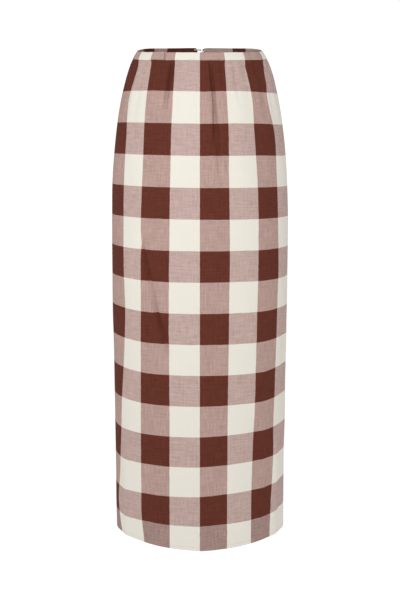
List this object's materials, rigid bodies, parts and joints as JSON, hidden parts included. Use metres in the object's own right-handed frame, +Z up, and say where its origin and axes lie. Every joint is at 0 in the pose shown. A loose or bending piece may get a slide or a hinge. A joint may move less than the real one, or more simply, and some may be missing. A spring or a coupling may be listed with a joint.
{
  "type": "straight maxi skirt",
  "caption": "Straight ankle-length skirt in gingham check, hanging filled out: a hollow cloth column open at waist and hem, narrow lapped waistband, zip with hook and eye at the centre back.",
  "frame": {"origin": "centre of the waistband's ring, halfway up the band at the side seams, where the wearer's waist holds the skirt", "axes": "+Z up along the skirt's length, the front faces -Y, +X towards the wearer's left"},
  "size_m": [0.3572, 0.2975, 0.9878],
  "materials": {
    "gingham_cloth": "matt woven cotton in brown and cream checks",
    "band_cloth": "the same cotton, folded double",
    "zip_tape": "matt woven tape",
    "zip_coil": "satin",
    "zip_metal": "satin paint",
    "bright_steel": "bright"
  },
  "bodies": {
    "skirt": {"front_panel": "gingham_cloth", "back_panel_left": "gingham_cloth", "back_panel_right": "gingham_cloth", "waistband_left": "band_cloth", "waistband_right": "band_cloth", "zip_tape_left": "zip_tape", "zip_tape_right": "zip_tape", "zip_chain": "zip_coil", "zip_slider": "zip_metal", "hook": "bright_steel", "eye": "bright_steel"},
    "pull_tab": {"zip_pull": "zip_metal"}
  },
  "joints": [
    {"name": "pull_tab_swing", "type": "hinge", "parent": "skirt", "child": "pull_tab", "pos_m": [0, 0.09964, 0.00561], "axis": [1, 0, 0], "range_deg": [0, 150]}
  ]
}
